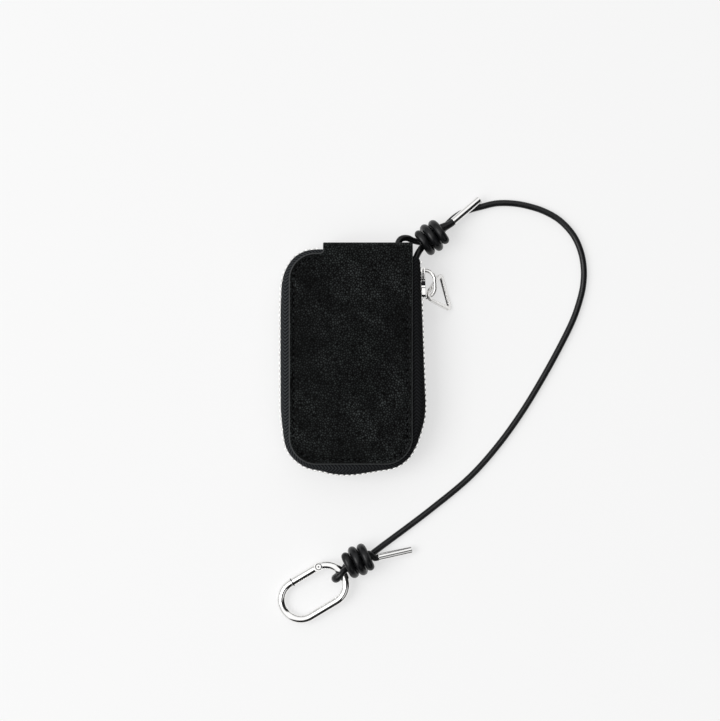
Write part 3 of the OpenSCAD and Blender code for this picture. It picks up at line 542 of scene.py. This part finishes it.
tube = bpy.data.curves.new("leather_cord", "CURVE")
tube.dimensions = "3D"
tube.bevel_depth = LOW * MM
tube.bevel_resolution = 6
tube.use_fill_caps = True
spline = tube.splines.new("POLY")
spline.points.add(len(line) - 1)
for p, v in zip(spline.points, line):
    p.co = (*(v * MM), 1)
    p.radius = swell(v)
cord = bpy.data.objects.new("leather_cord", tube)
scene.collection.objects.link(cord)
tube.materials.append(CORD_LOOK)


def nodes_named(*names):
    return [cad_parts[n] for n in names]


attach(cord, "case")
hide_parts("cord")

# ---- flat outlines ----


def round_point(c, r, a):
    a = math.radians(a)
    return (c[0] + r * math.cos(a), c[1] + r * math.sin(a))


def arc(c, r, a, b, n):
    """Points on a circle from a to b degrees, in n steps."""
    return [round_point(c, r, a + (b - a) * i / n) for i in range(n + 1)]


CORNER_STEPS = 16


def low_corners(r):
    left = arc((-LOW_X, LOW_Y), r, 180, 270, CORNER_STEPS)
    return left + arc((LOW_X, LOW_Y), r, 270, 360, CORNER_STEPS)


def top_corner(r):
    return arc((-TOP_X, TOP_Y), r, 90, 180, CORNER_STEPS)


def case_outline(top, inset=0.0):
    """Counter-clockwise: corner by corner from the lower left, up to the given top."""
    out = low_corners(LOW_R - inset)
    if top > FIELD_TOP + NOTCH_R:
        out += [(HALF_W - inset, top - inset), (SPINE_LEFT + inset, top - inset)]
        out += arc((SPINE_LEFT - NOTCH_R, FIELD_TOP + NOTCH_R), NOTCH_R + inset, 0, -90, 6)
    else:
        out += [(HALF_W - inset, min(top, FIELD_TOP) - inset)]
    return out + top_corner(TOP_R - inset)


def spread(loop, step):
    """Points along a closed outline, no further apart than step."""
    out = []
    for a, b in zip(loop, loop[1:] + loop[:1]):
        n = max(1, math.ceil(math.dist(a, b) / step))
        if math.dist(a, b) > 1e-6:
            out += [(a[0] + (b[0] - a[0]) * k / n, a[1] + (b[1] - a[1]) * k / n) for k in range(n)]
    return out


def inside(p, loop):
    """Whether a point lies within a closed outline."""
    hit = False
    for (ax, ay), (bx, by) in zip(loop, loop[1:] + loop[:1]):
        if (ay > p[1]) != (by > p[1]) and p[0] < ax + (bx - ax) * (p[1] - ay) / (by - ay):
            hit = not hit
    return hit


def far_from(p, loop, closed=True):
    """Distance from a point to a line of segments."""
    best = 1e9
    for (ax, ay), (bx, by) in zip(loop, loop[1:] + (loop[:1] if closed else [])):
        dx, dy = bx - ax, by - ay
        f = max(0, min(1, ((p[0] - ax) * dx + (p[1] - ay) * dy) / max(dx * dx + dy * dy, 1e-12)))
        best = min(best, math.hypot(p[0] - ax - f * dx, p[1] - ay - f * dy))
    return best


# ---- leather sheets ----

# how the points of a sheet lie, in millimetres: along its edge, off its holes, off its rings
EDGE_STEP, HOLE_CLEAR, GRID_CLEAR = 1.4, 0.8, 0.7
ROW_SHARE = 0.87


def flat_net(outline, holes, rings, extra, grid):
    """Triangles over an outline: its flat points, the triangles and the points along its edge."""
    edge = spread(outline, EDGE_STEP)
    points = [Vector(p) for p in edge]
    links = [(i, (i + 1) % len(edge)) for i in range(len(edge))]
    for hole in holes:
        n = len(points)
        points += [Vector(p) for p in hole]
        links += [(n + i, n + (i + 1) % len(hole)) for i in range(len(hole))]
    for ring in rings:
        points += [Vector(p) for p in spread(ring, EDGE_STEP)]
    points += [Vector(p) for p in extra]
    xs, ys = [p[0] for p in outline], [p[1] for p in outline]
    clear = max([HOLE_CLEAR] + [far_from(r[0], outline) for r in rings]) + GRID_CLEAR

    def free(p):
        if not inside(p, outline) or far_from(p, edge) <= clear:
            return False
        return all(far_from(p, h) > HOLE_CLEAR and not inside(p, h) for h in holes)

    y = min(ys) + grid / 2
    row = 0
    while y < max(ys):
        x = min(xs) + (grid / 2 if row % 2 else grid)
        while x < max(xs):
            if free((x, y)):
                points.append(Vector((x, y)))
            x += grid
        y += grid * ROW_SHARE
        row += 1
    verts, _, faces, *_ = delaunay_2d_cdt(points, links, [], 0, 1e-5)
    keep = []
    for f in faces:
        if len(f) != 3:
            continue
        c = (verts[f[0]] + verts[f[1]] + verts[f[2]]) / 3
        if inside(c, edge) and not any(inside(c, h) for h in holes):
            keep.append(f)
    return [(v.x, v.y) for v in verts], keep, edge


def clockwise(a, b, c):
    return (b[0] - a[0]) * (c[1] - a[1]) - (b[1] - a[1]) * (c[0] - a[0]) < 0


def sheet(name, outline, thick, place, sink, holes=(), grid=2.0, rings=(), looks=(GRAINED, EDGE_PAINT_AND_HIGHLIGHT, SUEDE),
          round_off=0.45, extra=()):
    """A sheet of leather: place(u, v, h) puts a flat point at depth h under the outer face.

    Its three looks are for the outer face, the edge and the inner face."""
    flat, keep, edge = flat_net(outline, holes, rings, extra, grid)
    used = sorted({i for f in keep for i in f})
    order = {i: k for k, i in enumerate(used)}
    mesh = bmesh.new()
    top, low, dist = [], [], []
    for i in used:
        u, v = flat[i]
        d = min([far_from((u, v), edge)] + [far_from((u, v), h) for h in holes])
        dist.append(d)
        r = max(0.0, round_off - d)
        drop = round_off - math.sqrt(max(0.0, round_off**2 - r * r)) + sink(u, v, d)
        top.append(mesh.verts.new(Vector(place(u, v, drop)) * MM))
        low.append(mesh.verts.new(Vector(place(u, v, thick)) * MM))
    sides = {}
    for f in keep:
        a = [order[i] for i in f]
        if clockwise(flat[f[0]], flat[f[1]], flat[f[2]]):
            a.reverse()
        upper = mesh.faces.new([top[i] for i in a])
        # faces on the rounded edge take the edge look, with its painted highlight
        upper.material_index = 1 if max(dist[i] for i in a) < round_off + 0.12 else 0
        mesh.faces.new([low[i] for i in reversed(a)]).material_index = 2
        for side in zip(a, a[1:] + a[:1]):
            sides[side] = True
    for i, j in sides:
        if (j, i) not in sides:
            mesh.faces.new([top[j], top[i], low[i], low[j]]).material_index = 1
    for face in mesh.faces:
        face.smooth = True
    bmesh.ops.recalc_face_normals(mesh, faces=mesh.faces)
    return piece(name, mesh, looks)


def piece(name, mesh, looks, sharp=None):
    """An object of a mesh; edges sharper than so many degrees stay sharp."""
    data = bpy.data.meshes.new(name)
    mesh.to_mesh(data)
    mesh.free()
    for look in looks:
        data.materials.append(look)
    if sharp is not None:
        data.set_sharp_from_angle(angle=math.radians(sharp))
    obj = bpy.data.objects.new(name, data)
    scene.collection.objects.link(obj)
    return obj


def shallow(u, v, size, seed):
    """Waves of about size millimetres, from -1 to 1."""
    return noise.noise(Vector((u / size, v / size, seed)))


WRAP_END = FOLD_Y + math.pi * FOLD_R + CASE_T - 2 * FOLD_R
BEND = math.pi * FOLD_R / 2


def on_front(u, v, h):
    """Front panel, over the fold, down the spine and under the lower fold."""
    if v <= FOLD_Y:
        return (u, v, CASE_T - h)
    t = v - FOLD_Y
    if t < BEND:
        a = t / FOLD_R
        return (u, FOLD_Y + (FOLD_R - h) * math.sin(a), CASE_T - FOLD_R + (FOLD_R - h) * math.cos(a))
    t -= BEND
    if t < CASE_T - 2 * FOLD_R:
        return (u, HALF_H - h, CASE_T - FOLD_R - t)
    a = (t - CASE_T + 2 * FOLD_R) / FOLD_R
    return (u, FOLD_Y + (FOLD_R - h) * math.cos(a), FOLD_R - (FOLD_R - h) * math.sin(a))


def on_back(u, v, h):
    return (u, v, h)


SEAM_CLEAR = 0.8
SEAM_DEEP, SEAM_WIDE = 0.34, 0.5


def stitch_path():
    """Line of the seam, down the left side, round the bottom and up the right."""
    path = [(SPINE_LEFT - SEAM_CLEAR, FIELD_TOP - STITCH_IN)] + top_corner(TOP_R - STITCH_IN)
    return path + low_corners(LOW_R - STITCH_IN) + [(HALF_W - STITCH_IN, FOLD_Y - SEAM_CLEAR)]


SEAM = stitch_path()


def seam_dip(u, v):
    """The leather sinks along its seam."""
    seam = far_from((u, v), SEAM, closed=False)
    return SEAM_DEEP * math.exp(-((seam / SEAM_WIDE) ** 2))


def front_sink(u, v, d):
    soft = min(1.0, d / 5) * (1.0 if v < FOLD_Y - 4 else 0.3)
    waves = 0.5 + shallow(u, v, 14, 3.1) + 0.4 * shallow(u + v * 0.6, v, 6, 8.2)
    return seam_dip(u, v) + 0.1 * soft * waves


def back_sink(u, v, d):
    return seam_dip(u, v) + 0.05 * min(1.0, d / 5) * (0.6 + shallow(u, v, 14, 5.7))


# rings of points: along the rounded edge and on both sides of the seam
FINE = [0.12, 0.3, 0.55, 1.4, STITCH_IN - 0.45, STITCH_IN, STITCH_IN + 0.45, STITCH_IN + 1.1]
# the cord's hole, laid flat
HOLE_AT = (22.2, FOLD_Y + BEND + CASE_T - FOLD_R - MID_Z)
HOLE_R, HOLE_RIM, HOLE_SIDES = 2.2, 2.6, 20
hole, hole_ring = (arc(HOLE_AT, r, 0, 360, HOLE_SIDES)[:-1] for r in (HOLE_R, HOLE_RIM))
# rows of points where the leather bends, at the fold and at the lower fold
BEND_ROWS, BEND_STEP = 6, 1.6
folds = [(SPINE_LEFT + 1 + x * BEND_STEP, FOLD_Y + BEND * k / (BEND_ROWS - 1) + base)
         for base in (0, BEND + CASE_T - 2 * FOLD_R) for k in range(BEND_ROWS) for x in range(26)]

front = sheet("front_leather", case_outline(WRAP_END), LEATHER, on_front, front_sink, holes=[hole],
              rings=[case_outline(WRAP_END, d) for d in FINE] + [hole_ring],
              extra=[p for p in folds if p[1] < WRAP_END - GRID_CLEAR])
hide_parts("front_panel", "spine_panel", "spine_fold")
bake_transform(front)

back = sheet("back_leather", case_outline(FOLD_Y), LEATHER, on_back, back_sink,
             rings=[case_outline(FOLD_Y, d) for d in FINE])
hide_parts("back_panel")
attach(back, "case")


def along(path, pitch):
    """Middle and direction of each stitch along a line."""
    run = [0.0]
    for a, b in zip(path, path[1:]):
        run.append(run[-1] + math.dist(a, b))
    n = int(run[-1] // pitch)
    step = run[-1] / n
    out, i = [], 0
    for k in range(n):
        s = (k + 0.5) * step
        while run[i + 1] < s:
            i += 1
        a, b = path[i], path[i + 1]
        f = (s - run[i]) / (run[i + 1] - run[i])
        middle = (a[0] + (b[0] - a[0]) * f, a[1] + (b[1] - a[1]) * f)
        out.append((middle, math.atan2(b[1] - a[1], b[0] - a[0])))
    return out


# ---- seams ----

STITCH_PITCH, STITCH_LEN, STITCH_R, STITCH_SLANT = 2.8, 1.9, 0.24, math.radians(9)
NEEDLE_LONG, NEEDLE_WIDE = 0.62, 0.42


def stitch_point(mesh, place, x, y, a, ahead, aside, h):
    """A point so far ahead and aside of a place on the leather, at depth h."""
    u = x + ahead * math.cos(a) - aside * math.sin(a)
    v = y + ahead * math.sin(a) + aside * math.cos(a)
    return mesh.verts.new(Vector(place(u, v, h)) * MM)


def needle_holes(mesh, place, x, y, a, h):
    """Black discs at both ends of a stitch: painted shade in the needle holes."""
    for end in (-1, 1):
        rim = []
        for j in range(10):
            q = j * math.pi / 5
            ahead = end * STITCH_LEN * 0.52 + NEEDLE_LONG * math.cos(q)
            rim.append(stitch_point(mesh, place, x, y, a, ahead, NEEDLE_WIDE * math.sin(q), h))
        mesh.faces.new(rim).material_index = 1


def stitches(name, path, place, body, depth=0.22):
    """A seam: each stitch is a slim thread that dives into the leather at both ends."""
    mesh = bmesh.new()
    for k, ((x, y), a) in enumerate(along(path, STITCH_PITCH)):
        a += STITCH_SLANT + 0.05 * noise.noise(Vector((k * 1.7, 0, 2)))
        rings = []
        for i in range(9):
            f = -1 + i / 4
            r = STITCH_R * (1 - 0.45 * abs(f) ** 3)
            dive = depth + 0.55 * abs(f) ** 4
            rings.append([stitch_point(mesh, place, x, y, a, f * STITCH_LEN / 2, r * math.cos(q),
                                       dive - 0.75 * r * math.sin(q))
                          for q in [j * math.pi / 4 for j in range(8)]])
        for p, q in zip(rings, rings[1:]):
            for j in range(8):
                mesh.faces.new([p[j], p[(j + 1) % 8], q[(j + 1) % 8], q[j]]).smooth = True
        mesh.faces.new(rings[0][::-1])
        mesh.faces.new(rings[-1])
        needle_holes(mesh, place, x, y, a, depth + 0.06)
    bmesh.ops.recalc_face_normals(mesh, faces=mesh.faces)
    obj = piece(name, mesh, [THREAD, NEEDLE_HOLE_SHADE])
    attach(obj, body)


stitches("front_seam_stitches", SEAM, on_front, "cover")
stitches("back_seam_stitches", SEAM, on_back, "case")


# ---- linings and pocket ----


def lining_sink(u, v, d):
    return 0.06 * min(1, d / 4) * (0.5 + shallow(u, v, 11, 1.3))


def rounded(x0, y0, x1, y1, r):
    """A box with round corners."""
    return (arc((x0 + r, y0 + r), r, 180, 270, 6) + arc((x1 - r, y0 + r), r, 270, 360, 6)
            + arc((x1 - r, y1 - r), r, 0, 90, 6) + arc((x0 + r, y1 - r), r, 90, 180, 6))


def inner(name, outline, z, body, node, rings):
    """A thin inner sheet; its outer face looks into the case."""
    def place(u, v, h):
        at = z + LINING - h
        return (u, v, CASE_T - at if body == "cover" else at)
    obj = sheet(name, outline, LINING, place, lining_sink, grid=3.0, rings=rings, round_off=0.3,
                looks=(LINING_LOOK, EDGE_PAINT_AND_HIGHLIGHT, SUEDE))
    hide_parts(node)
    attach(obj, body)


lining, *lining_rings = (case_outline(FIELD_TOP, d) for d in (1.0, 1.3, 2))
inner("back_lining_leather", lining, LINING_Z, "case", "back_lining", lining_rings)
inner("front_lining_leather", lining, LINING_Z, "cover", "front_lining", lining_rings)
pocket, *pocket_rings = (rounded(-22 + d, -45 + d, 22 - d, 15 - d, 3 - d) for d in (0, 0.3, 1))
inner("card_pocket_leather", pocket, INSIDE_Z, "cover", "card_pocket", pocket_rings)


def on_pocket(u, v, h):
    return (u, v, CASE_T - INSIDE_Z - LINING - 0.14 + h)


pocket_seam = arc((-18.6, -41.6), 2, 180, 270, 6) + arc((18.6, -41.6), 2, 270, 360, 6)
stitches("pocket_stitches", [(-20.6, 14)] + pocket_seam + [(20.6, 14)], on_pocket, "cover", depth=0.16)

# ---- zip ----

SLIDER_Y, SLIDER_GAP, LEAN = 33.4, 3.6, 0.036


def run_gap(y):
    """How far the tape stands out from the straight right side."""
    return SLIDER_GAP + (SLIDER_Y - y) * LEAN


# the teeth's way round the case: places along it, each with its gap to the leather
zip_route = [(HALF_W + g, y) for y, g in ((45.4, 0.7), (45.2, 2), (44.2, 2.9))]
zip_route += [(HALF_W + run_gap(y), y) for y in (42.9, 41.7, 33, 8, -12, -24)]
zip_route += [(HALF_W + g, y) for y, g in ((-30, 5.3), (-35, 4.2))]
zip_route += [round_point((LOW_X, LOW_Y), LOW_R + g, a) for a, g in ((0, 3), (-20, 1.9), (-45, 1.8), (-70, 2))]
zip_route += [(x, -HALF_H - g) for x, g in ((12, 2.9), (3, 4.3), (-3, 4.6), (-9, 4.1), (-14, 2.9))]
zip_route += [round_point((-LOW_X, LOW_Y), LOW_R + g, a) for a, g in ((-110, 2), (-135, 1.8), (-160, 2))]
zip_route += [(-HALF_W - g, y) for y, g in ((-33, 3), (-27, 3.5), (-10, 3.7), (12, 3.7), (26, 3.5))]
zip_route += [round_point((-TOP_X, TOP_Y), TOP_R + g, a)
              for a, g in ((180, 2.8), (160, 2), (135, 1.8), (110, 1.6))]
zip_route += [(x, FIELD_TOP + g) for x, g in ((-15.4, 1.55), (-10.5, 1.5))]
zip_line = [(p.x, p.y) for p in curve_through([(*p, 0) for p in zip_route], LINE_STEP)]


def edge_at(p):
    """The place on the leather's edge that a place on the teeth's way faces."""
    x, y = p
    for cx, cy, r, faces in ((math.copysign(LOW_X, x), LOW_Y, LOW_R, y < LOW_Y and abs(x) > LOW_X),
                             (-TOP_X, TOP_Y, TOP_R, y > TOP_Y and x < -TOP_X)):
        if faces:
            d = math.dist(p, (cx, cy))
            return (cx + r * (x - cx) / d, cy + r * (y - cy) / d)
    if abs(x) > HALF_W:
        return (math.copysign(HALF_W, x), y)
    return (x, -HALF_H if y < 0 else FIELD_TOP)


def spread_here(p):
    """Above the slider the rows part."""
    return 0 if p[0] < 0 else max(0, min(1.3, (p[1] - SLIDER_Y - 1) * 0.3))


TAPE_HALF, TAPE_TURN, TAPE_EDGE = 0.3, 4.5, 2
TAPE_POINTS = 16


def tape_section(gap, top, wave):
    """The tape's outer and inner face across it: (out from the leather's edge, height)."""
    mid = [(-6, BOARD_Z + TAPE_HALF), (-0.2, BOARD_Z + TAPE_HALF), (gap * 0.45, BOARD_Z + TAPE_HALF + 0.15),
           (gap * 0.8, TAPE_TURN - 1.4 + wave), (gap, TAPE_TURN + 0.3), (gap, top)]
    mid = [(q.x, q.y) for q in curve_through([(*m, 0) for m in mid], 0.7)]
    last = TAPE_POINTS - 1
    pts = [mid[round(k * (len(mid) - 1) / last)] for k in range(TAPE_POINTS)]
    outer, inward = [], []
    for k, q in enumerate(pts):
        a, b = pts[max(k - 1, 0)], pts[min(k + 1, last)]
        d = math.dist(a, b) or 1
        nx, ny = (b[1] - a[1]) / d, -(b[0] - a[0]) / d
        t = TAPE_HALF * (0.93 if k < last else 0.7)
        outer.append((q[0] + nx * t, q[1] + ny * t))
        inward.append((q[0] - nx * t, q[1] - ny * t))
    return outer, inward


def zip_tape(name, body, node):
    """The tape's woven band, from under the leather out and up to the teeth."""
    mesh = bmesh.new()
    uv = mesh.loops.layers.uv.new("weave")
    rows, marks, run = [], [], 0.0
    for i, p in enumerate(zip_line):
        if i:
            run += math.dist(p, zip_line[i - 1])
        e = edge_at(p)
        gap = math.dist(p, e)
        out = ((p[0] - e[0]) / gap, (p[1] - e[1]) / gap)
        wave = 0.1 * noise.noise(Vector((run / 9, 0.0, 4.0)))
        outer, inward = tape_section(gap, MID_Z - TAPE_EDGE - spread_here(p), wave)
        width = [0.0]
        for a, b in zip(outer, outer[1:]):
            width.append(width[-1] + math.dist(a, b))
        row = []
        for q in outer + inward[::-1]:
            z = CASE_T - q[1] if body == "cover" else q[1]
            row.append(mesh.verts.new(Vector((e[0] + out[0] * q[0], e[1] + out[1] * q[0], z)) * MM))
        rows.append(row)
        marks.append((run, width + width[::-1]))
    size = len(rows[0])
    for (a, (ra, wa)), (b, (rb, wb)) in zip(zip(rows, marks), zip(rows[1:], marks[1:])):
        for k in range(size):
            j = (k + 1) % size
            f = mesh.faces.new([a[k], a[j], b[j], b[k]])
            f.smooth = True
            for loop, at in zip(f.loops, ((ra, wa[k]), (ra, wa[j]), (rb, wb[j]), (rb, wb[k]))):
                loop[uv].uv = at
    mesh.faces.new(rows[0][::-1])
    mesh.faces.new(rows[-1])
    bmesh.ops.recalc_face_normals(mesh, faces=mesh.faces)
    obj = piece(name, mesh, [TAPE], sharp=60)
    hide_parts(node)
    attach(obj, body)


zip_tape("woven_tape_back", "case", "zip_tape_back")
zip_tape("woven_tape_front", "cover", "zip_tape_front")

# ---- metal and board pieces keep their solids and get their looks ----

EACH = range(1, 5)
LOOKS = (
    (POLISHED, ["key_bar", "key_bar_rivets", "hook_studs", "ferrule_case_end", "ferrule_ring_end"]),
    (POLISHED, [f"key_hook_{i}" for i in EACH] + [f"hook_gate_{i}" for i in EACH]),
    (BANDED, ["slider_body"]),
    (SATIN, ["slider_bail", "pull_loop"]),
    (RINGED, ["snap_ring", "ring_gate", "gate_pin"]),
    (TEETH, ["zip_teeth_back", "zip_teeth_front"]),
    (TEETH, ["zip_top_stop_back", "zip_top_stop_front", "zip_bottom_stop"]),
    (FIBRE, ["back_stiffener", "front_stiffener"]),
)
for look, names in LOOKS:
    for node in nodes_named(*names):
        for slot in node.material_slots:
            slot.material = look

# ---- floor ----

FLOOR_HALF, FLOOR_Z = 2.5, -0.0004
SHADOW_FILL = 0.63

grid = bmesh.new()
bmesh.ops.create_grid(grid, x_segments=1, y_segments=1, size=FLOOR_HALF)
floor = piece("studio_floor", grid, [])
floor.location = (0, 0, FLOOR_Z)
paper = Nodes("floor_paper", (0.91, 0.91, 0.91), 0.9, level=0.1)
cloud = paper.noise(paper.place(), 90, 2)
paper.to("Base Color", paper.mix(cloud, (0.912, 0.912, 0.912), (0.922, 0.922, 0.92)))
# seen directly or mirrored, the paper is pale and its shadows are soft
ray = paper.tree.nodes.new("ShaderNodeLightPath")
glow = paper.tree.nodes.new("ShaderNodeEmission")
glow.inputs["Color"].default_value = (0.97, 0.97, 0.97, 1)
blend = paper.tree.nodes.new("ShaderNodeMixShader")
seen = paper.math("MAXIMUM", ray.outputs["Is Camera Ray"], ray.outputs["Is Glossy Ray"])
paper.feed(paper.math("MULTIPLY", seen, SHADOW_FILL), blend, 0)
paper.feed(paper.shader.outputs[0], blend, 1)
paper.feed(glow.outputs[0], blend, 2)
paper.feed(blend.outputs[0], paper.tree.nodes["Material Output"], "Surface")
floor.data.materials.append(paper.mat)

# ---- light ----


def lamp(name, place, size, power):
    """A square lamp, in metres and watts, aimed at the middle of the table."""
    data = bpy.data.lights.new(name, "AREA")
    data.shape = "SQUARE"
    data.size = size
    data.energy = power
    obj = bpy.data.objects.new(name, data)
    scene.collection.objects.link(obj)
    obj.location = place
    obj.rotation_euler = (-Vector(place)).to_track_quat("-Z", "Y").to_euler()


lamp("window_left", (-1.25, -0.1, 1.65), 1.3, 21)
lamp("soft_right", (1.2, -1.2, 1.6), 1.2, 3)
world = bpy.data.worlds.new("studio")
world.use_nodes = True
tree = world.node_tree
sky = tree.nodes["Background"]
where = tree.nodes.new("ShaderNodeTexCoord")


def toward(way, low, high, dark, pale):
    """Grey that goes from one value to another along a direction."""
    dot = tree.nodes.new("ShaderNodeVectorMath")
    dot.operation = "DOT_PRODUCT"
    tree.links.new(where.outputs["Generated"], dot.inputs[0])
    dot.inputs[1].default_value = way
    span = tree.nodes.new("ShaderNodeMapRange")
    span.interpolation_type = "SMOOTHSTEP"
    tree.links.new(dot.outputs["Value"], span.inputs["Value"])
    for socket, value in (("From Min", low), ("From Max", high), ("To Min", dark), ("To Max", pale)):
        span.inputs[socket].default_value = value
    return span.outputs["Result"]


# a bright room, dimmer near the horizon, with a dark side to the lower right
room = tree.nodes.new("ShaderNodeMath")
room.operation = "MULTIPLY"
tree.links.new(toward((0, 0, 1), 0.0, 0.85, 0.4, 1.12), room.inputs[0])
tree.links.new(toward((-0.77, 0.64, 0), -0.2, -0.06, 0.02, 1.0), room.inputs[1])
tree.links.new(room.outputs[0], sky.inputs["Color"])
sky.inputs["Strength"].default_value = 1.0
scene.world = world
scene.view_settings.view_transform = "Standard"
